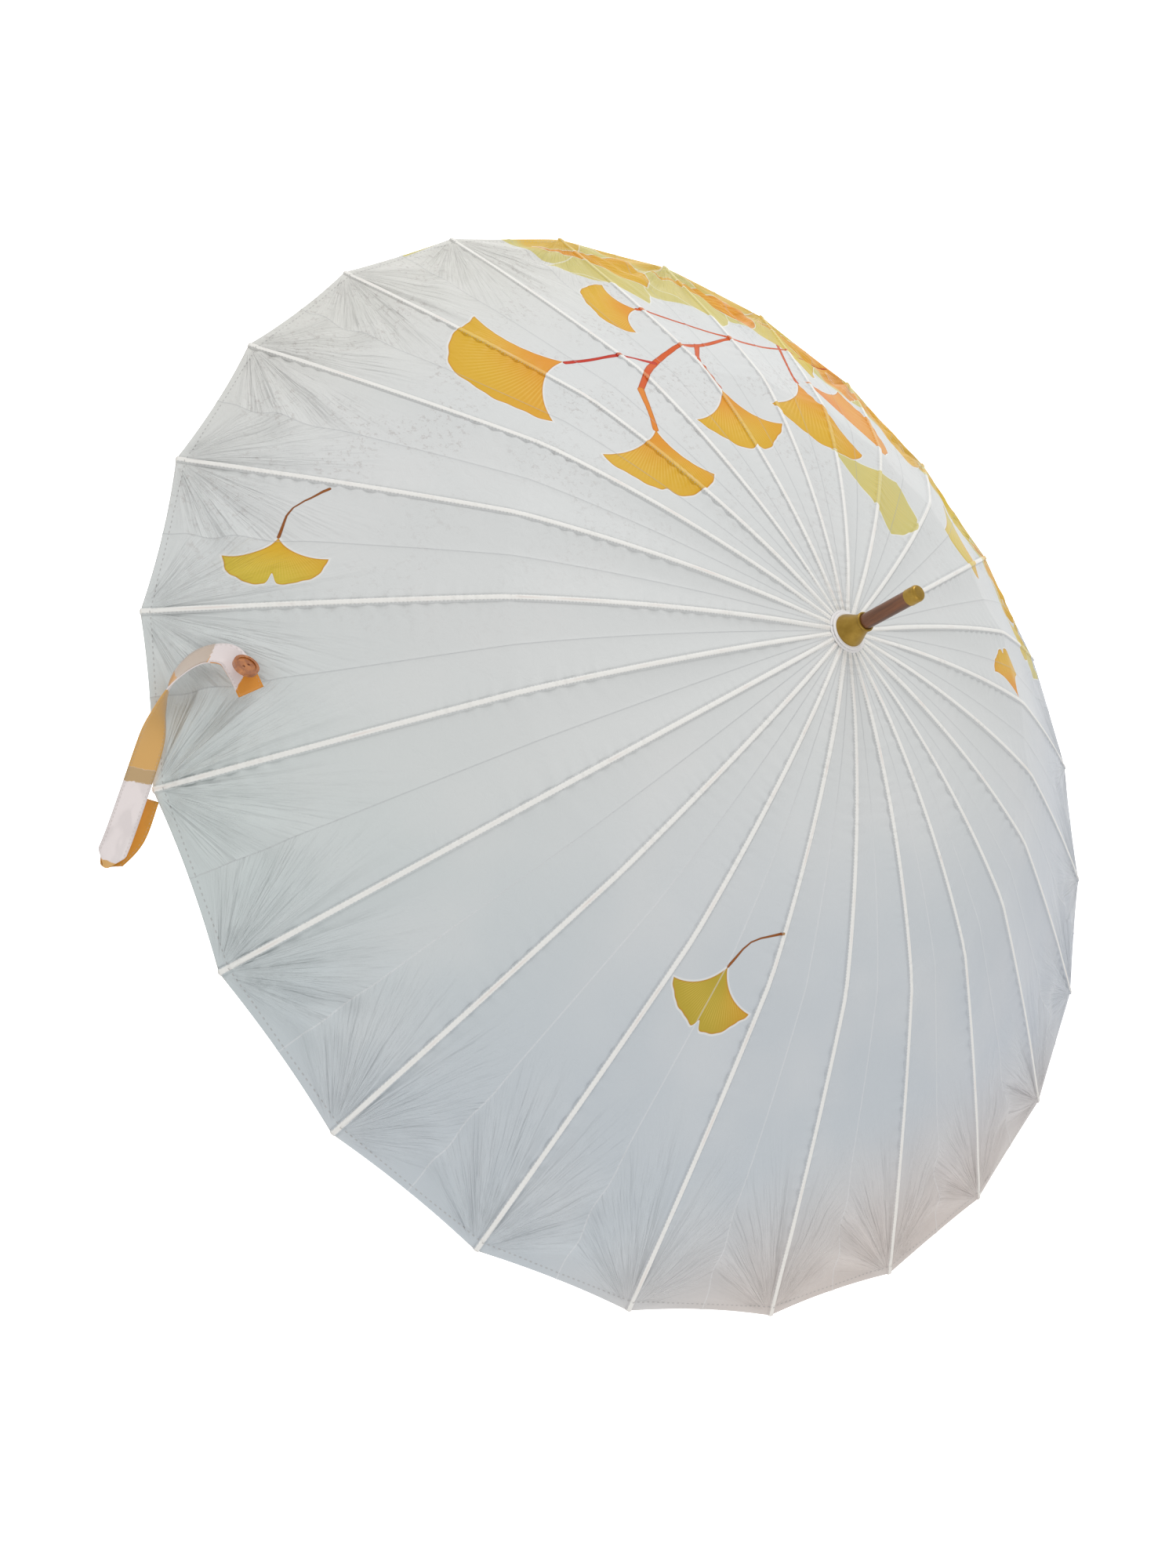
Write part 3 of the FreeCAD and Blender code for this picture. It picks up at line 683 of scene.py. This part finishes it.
def make_wood(name, dark, light, scale=1.0, rough=0.38, coat=0.25):
    material, n, shader = new_material(name, Roughness=rough, Coat_Weight=coat, Coat_Roughness=0.2)
    place = n.add("ShaderNodeTexCoord").outputs["Object"]
    stretch = n.vector("MULTIPLY", place, (110.0 * scale, 110.0 * scale, 9.0 * scale))
    grain = n.noise(stretch, 1.0, 5.0, 0.6, 0.8)
    pores = n.noise(n.vector("MULTIPLY", place, (900.0, 900.0, 60.0)), 1.0, 3.0, 0.7)
    tone = n.mix(n.step(grain, 0.35, 0.68), colour(*dark), colour(*light))
    streak = n.times(n.step(pores, 0.58, 0.72), 0.55)
    tone = n.mix(streak, tone, colour(*(0.45 * part for part in dark)))
    n.put(shader.inputs["Base Color"], tone)
    n.put(shader.inputs["Normal"], n.bump(n.math("ADD", grain, streak), 0.00012, 0.5))
    return material


def make_gold():
    material, n, shader = new_material("olive gilt", Metallic=0.55, Roughness=0.36)
    place = n.add("ShaderNodeTexCoord").outputs["Object"]
    patchy = n.noise(place, 70.0, 4.0, 0.6)
    tone = n.mix(n.step(patchy, 0.35, 0.75), colour(0.31, 0.18, 0.020), colour(0.43, 0.27, 0.045))
    n.put(shader.inputs["Base Color"], tone)
    specks = n.noise(place, 1800.0, 2.0)
    n.put(shader.inputs["Roughness"], n.math("MULTIPLY_ADD", patchy, 0.25, 0.24))
    n.put(shader.inputs["Normal"], n.bump(specks, 0.00003, 0.4))
    return material


def make_plain(name, tone, rough, metal=0.0, scale=400.0, depth=0.00004):
    """Moulded plastic or drawn metal with a fine surface texture and slight colour variation."""
    material, n, shader = new_material(name, Metallic=metal)
    place = n.add("ShaderNodeTexCoord").outputs["Object"]
    texture = n.noise(place, scale, 3.0, 0.6)
    lighter = tuple(min(1.0, part * 1.12) for part in tone)
    darker = tuple(part * 0.90 for part in tone)
    n.put(shader.inputs["Base Color"], n.mix(texture, colour(*darker), colour(*lighter)))
    n.put(shader.inputs["Roughness"], n.math("MULTIPLY_ADD", texture, 0.2, rough - 0.1))
    n.put(shader.inputs["Normal"], n.bump(texture, depth, 0.5))
    return material


def make_strap_face(name, ground, cover):
    """Satin with patches, printed ones and one of painted shade; strap_place is along from the fold and
    across, in mm.

    Each patch is (start, end, slant, inner side, paint): a slanting band across the strap, kept to
    the side of the strap where across is past the inner side.
    """
    material, n, shader = new_material(name, Roughness=0.38, Sheen_Weight=0.3, Sheen_Roughness=0.4)
    place = n.attribute("strap_place")
    along, across, _ = n.split(place)
    ragged = n.times(n.math("SUBTRACT", n.noise(place, 0.22, 3.0), 0.5), 4.0)
    wander = n.math("ADD", along, ragged)
    tone = colour(*ground)
    soft = n.step(n.noise(n.vector("MULTIPLY", place, (0.045, 0.11, 1.0)), 1.0, 2.0), 0.45, 0.62)
    tone = n.mix(n.times(soft, 0.45), tone, colour(*(0.80 * part for part in ground)))
    for start, end, slant, side, paint in cover:
        at = n.math("MULTIPLY_ADD", across, slant, wander)
        band = n.times(n.step(at, start - 0.5, start + 0.5), n.fall(at, end - 0.5, end + 0.5))
        band = n.times(band, n.step(across, side - 0.4, side + 0.4))
        tone = n.mix(band, tone, colour(*paint))
    edge = n.math("ABSOLUTE", across)
    line = n.fall(n.math("ABSOLUTE", n.math("SUBTRACT", edge, STRAP_STITCH)), 0.15, 0.4)
    dash = n.step(n.math("SINE", n.times(along, 2 * math.pi / 2.8)), -0.1, 0.5)
    stitch = n.times(line, dash)
    tone = n.mix(n.times(stitch, 0.35), tone, colour(0.55, 0.47, 0.42))
    n.put(shader.inputs["Base Color"], tone)
    weave = n.times(n.math("SINE", n.times(along, 12.0)), n.math("SINE", n.times(across, 12.0)))
    fine = n.bump(weave, 0.00004, 0.3)
    n.put(shader.inputs["Normal"], n.bump(stitch, -0.0002, 0.8, fine))
    return material


# ------------------------------------------------------------------ pieces
def make_crown(cloth_white):
    """The cloth disc over the hub and the washer on it, both fixed to the shaft."""
    inner, outer = 0.0070, 0.0190
    turns, rings = 96, 9
    vertices = []
    for ring in range(rings):
        radius = inner + (outer - inner) * ring / (rings - 1)
        for i in range(turns):
            angle = 2 * math.pi * i / turns
            rib_share = 0.5 + 0.5 * math.cos(angle * RIB_COUNT)
            wave = 0.0005 * rib_share * (ring / (rings - 1))
            height = RIM_Z + float(canopy_height(radius)) + 0.0002 + wave
            vertices.append((radius * math.cos(angle), radius * math.sin(angle), height))
    faces = []
    for ring in range(rings - 1):
        for i in range(turns):
            there = (i + 1) % turns
            faces.append((ring * turns + i, (ring + 1) * turns + i, (ring + 1) * turns + there,
                          ring * turns + there))
    crown = new_object("crown_patch", vertices, faces)
    thick = crown.modifiers.new("cloth thickness", "SOLIDIFY")
    thick.thickness = CLOTH
    thick.offset = -1
    crown.data.materials.append(cloth_white)
    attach(crown, "frame")
    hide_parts("canopy")

    base_in = RIM_Z + float(canopy_height(inner)) + 0.0009
    base_out = RIM_Z + float(canopy_height(0.0165)) + 0.0007
    outline = [(inner, base_in), (0.0160, base_out), (0.0167, base_out + 0.0003),
               (0.0167, base_out + 0.0008), (0.0160, base_out + 0.0012), (0.0140, base_out + 0.0013),
               (inner, base_in + 0.0010)]
    washer = lathe("crown_washer", outline, 96)
    washer.data.materials.append(cloth_white)
    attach(washer, "frame")
    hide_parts("canopy")


def make_cone(gold):
    """The bell-shaped cap: a smooth flare from the lip ring down to the washer."""
    low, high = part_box("cone_cap")
    base, top, radius = low.z, high.z, high.x
    bore = 0.0066
    flare = smooth_curve([(radius, base), (radius - 0.0002, base + 0.0022), (0.0124, base + 0.0060),
                          (0.0102, base + 0.0105), (0.0086, base + 0.0148), (0.0079, base + 0.0178)], 5)
    lip = smooth_curve([(0.0079, base + 0.0182), (0.0084, base + 0.0186), (0.0086, base + 0.0193),
                        (0.0084, top - 0.0003), (0.0077, top)], 4)
    outline = [tuple(p) for p in flare] + [tuple(p) for p in lip]
    outline += [(bore, top), (bore, base + 0.0150), (0.0088, base + 0.0110),
                (0.0112, base + 0.0060), (radius - 0.0012, base)]
    cone = lathe("cone_cap_bell", outline, 128)
    cone.data.materials.append(gold)
    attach(cone, "frame")
    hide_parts("cone_cap")


STRAP_WIDTH = 0.019
STRAP_THICK = 0.0009
STRAP_ORANGE = (0.68, 0.26, 0.02)
STRAP_GOLD = (0.66, 0.38, 0.12)
# Grey of the painted shade on the strap's underside
STRAP_TAN = (0.50, 0.34, 0.17)
STRAP_PAINTED_SHADE = (0.52, 0.42, 0.34)
STRAP_LILAC = (0.76, 0.68, 0.67)
STRAP_WHITE = (0.80, 0.73, 0.72)
STRAP_UNDERSIDE = (0.62, 0.27, 0.02)
WHOLE = -20                   # an inner side past the strap's edge, so a patch covers the whole width
# Patches, printed ones and one of painted shade: start and end in mm along the strap from its fold,
# slant, inner side, paint
FACE_PATCHES = [(-4, 5, 0.0, WHOLE, STRAP_GOLD), (62, 72, 0.15, WHOLE, STRAP_TAN),
                (72, 130, 0.15, WHOLE, STRAP_GOLD), (181, 215, 0.9, 0, STRAP_ORANGE)]
# The grey band on the underside, from 142 to 172 mm, is painted shade; the other patches are print.
BACK_PATCHES = [(142, 172, 0.3, WHOLE, STRAP_PAINTED_SHADE), (172, 230, 0.2, WHOLE, STRAP_LILAC),
                (203, 240, -0.8, WHOLE, STRAP_ORANGE)]
STRAP_POINT = 0.012           # length over which the strap narrows towards its fold
STRAP_STITCH = 7.9            # mm from the strap's middle to its stitches
STRAP_STEPS = 8               # rows of the mesh from one station to the next
STRAP_FOLD = 3                # the station in the fold
# In mm: out from the shaft, across the strap's rib and above the rim plane, then the way its width runs
STRAP_STATIONS = [
    ((525, 4, -3.5), (0.76, -0.65, 0.0)),
    ((538, 28, -11), (0.76, -0.65, 0.0)),
    ((556, 42, -12), (0.78, -0.62, 0.0)),
    ((559, 46, -9.5), (0.78, -0.62, 0.0)),
    ((556, 42, -7), (0.78, -0.62, 0.0)),
    ((546, 24, 1.5), (0.88, -0.45, 0.0)),
    ((520, -26, 9), (0.88, -0.42, 0.1)),
    ((507, -54, 17), (0.50, -0.10, 0.84)),
    ((493, -75, 23), (0.10, 0.50, 0.85)),
    ((477, -84, 33), (0.20, 0.80, 0.57)),
    ((462, -80, 43), (0.60, 0.60, 0.0)),
    ((456, -67, 46), (0.90, 0.25, -0.35)),
    ((451, -50, 44), (0.90, 0.25, -0.35)),
]


def strap_width(along, fold):
    """The strap narrows to a point where it is folded back on itself."""
    return STRAP_WIDTH * min(1.0, 0.12 + abs(along - fold) / STRAP_POINT)


def make_strap(face, back):
    turn = Matrix.Rotation(STEP * (STRAP_RIB - 1), 4, "Z")
    stations = [np.array([*middle, *width], float) for middle, width in STRAP_STATIONS]
    curve = smooth_curve(stations, STRAP_STEPS)
    middles = np.array([station[:3] for station in curve]) / 1000
    middles[:, 2] += RIM_Z
    along = np.concatenate([[0], np.cumsum(np.linalg.norm(np.diff(middles, axis=0), axis=1))])
    fold = along[STRAP_FOLD * STRAP_STEPS]
    columns = 9
    vertices, places = [], []
    for i, station in enumerate(curve):
        run = middles[min(i + 1, len(curve) - 1)] - middles[max(i - 1, 0)]
        wide = station[3:] - run * station[3:].dot(run) / run.dot(run)
        wide /= np.linalg.norm(wide)
        normal = np.cross(run / np.linalg.norm(run), wide)
        for j in range(columns):
            share = 2 * j / (columns - 1) - 1
            cup = -0.0006 * share ** 2
            half = share * strap_width(along[i], fold) / 2
            point = middles[i] + wide * half + normal * cup
            vertices.append(turn @ Vector(point))
            places.append(((along[i] - fold) * 1000, half * 1000, 0))
    strap = new_object("tie_strap_band", vertices, grid_faces(len(curve), columns))
    point_attribute(strap, "strap_place", places)
    strap.data.materials.append(face)
    strap.data.materials.append(back)
    thick = strap.modifiers.new("strap thickness", "SOLIDIFY")
    thick.thickness = STRAP_THICK
    thick.offset = 0
    thick.material_offset = 1
    thick.material_offset_rim = 0
    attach(strap, "rib_%02d" % STRAP_RIB)
    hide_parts("tie_strap")


def paint_nodes(materials):
    """Gives each CAD node that stays in view its material."""
    for names, material in materials:
        for name in names:
            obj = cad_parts[name]
            obj.data.materials.clear()
            obj.data.materials.append(material)


# ------------------------------------------------------------------ stage, light, camera
def make_stage():
    size, level = 8.0, HANDLE_BOTTOM - 0.001
    corners = [(-size, -size, level), (size, -size, level), (size, size, level), (-size, size, level)]
    floor = new_object("floor", corners, [(0, 1, 2, 3)])
    material, _, _ = new_material("pale floor", Base_Color=colour(0.93, 0.93, 0.93), Roughness=0.9,
                                  Emission_Color=colour(1, 1, 1), Emission_Strength=0.72)
    floor.data.materials.append(material)

    world = bpy.data.worlds.new("studio")
    world.use_nodes = True
    world.node_tree.nodes["Background"].inputs["Color"].default_value = colour(1.0, 1.0, 1.0)
    world.node_tree.nodes["Background"].inputs["Strength"].default_value = 0.62
    bpy.context.scene.world = world
    add_light("key", (-2.0, 1.2, 2.3), 1.2, 34)
    add_light("fill", (1.6, -1.4, 2.2), 2.0, 18)


def add_light(name, place, size, power):
    light = bpy.data.lights.new(name, "AREA")
    light.energy = power
    light.size = size
    obj = bpy.data.objects.new(name, light)
    bpy.context.scene.collection.objects.link(obj)
    obj.location = place
    target = Vector((0, 0, RIM_Z))
    obj.rotation_euler = (target - Vector(place)).to_track_quat("-Z", "Y").to_euler()


CAMERA_PLACE = Vector((0.002, -0.782, 1.299))
CAMERA_VIEW = Vector((-0.051, 0.613, -0.788))
CAMERA_ROLL = math.radians(57.7)
CAMERA_LENS = 27.58
CAMERA_SHIFT = -0.05


def make_camera():
    view = CAMERA_VIEW.normalized()
    level = view.cross(Vector((0, 0, 1))).normalized()
    upright = level.cross(view)
    right = level * math.cos(CAMERA_ROLL) + upright * math.sin(CAMERA_ROLL)
    up = upright * math.cos(CAMERA_ROLL) - level * math.sin(CAMERA_ROLL)
    camera = bpy.data.objects.new("camera", bpy.data.cameras.new("camera"))
    camera.data.lens = CAMERA_LENS
    camera.data.shift_y = CAMERA_SHIFT
    axes = Matrix((right, up, -view)).transposed().to_4x4()
    camera.matrix_world = Matrix.Translation(CAMERA_PLACE) @ axes
    bpy.context.scene.collection.objects.link(camera)
    bpy.context.scene.camera = camera


# ------------------------------------------------------------------ build
def main():
    white = make_plain("white washer cloth", (0.80, 0.78, 0.77), 0.6, scale=900.0, depth=0.0001)
    gold = make_gold()
    wood = make_wood("reddish wood", (0.085, 0.028, 0.009), (0.20, 0.070, 0.024))
    handle_wood = make_wood("varnished handle wood", (0.15, 0.045, 0.018), (0.34, 0.12, 0.05),
                            scale=0.7, rough=0.3, coat=0.6)
    button_wood = make_wood("orange button wood", (0.30, 0.085, 0.012), (0.50, 0.17, 0.03),
                            scale=1.6, rough=0.35, coat=0.4)
    plastic = make_plain("white glass fibre", (0.80, 0.80, 0.80), 0.4)
    steel = make_plain("zinc plated steel", (0.62, 0.63, 0.65), 0.35, 1.0)
    moulded = make_plain("black moulded nylon", (0.035, 0.033, 0.032), 0.45)
    spring = make_plain("bright spring steel", (0.70, 0.70, 0.72), 0.25, 1.0)
    face = make_strap_face("strap satin", STRAP_WHITE, FACE_PATCHES)
    back = make_strap_face("strap underside", STRAP_UNDERSIDE, BACK_PATCHES)

    for number in range(1, RIB_COUNT + 1):
        make_strip(number)
    make_crown(white)
    make_cone(gold)
    make_strap(face, back)
    ribs = ["rib_%02d" % number for number in range(1, RIB_COUNT + 1)]
    stretchers = ["stretcher_%02d" % number for number in range(1, RIB_COUNT + 1)]
    paint_nodes([(ribs, plastic), (stretchers, steel), (["shaft"], wood), (["handle"], handle_wood),
                 (["ferrule_cap", "handle_collar"], gold), (["top_notch", "runner"], moulded),
                 (["top_spring", "bottom_spring"], spring), (["strap_button"], button_wood)])
    make_stage()
    make_camera()


bpy.context.scene.view_settings.view_transform = "Standard"
main()
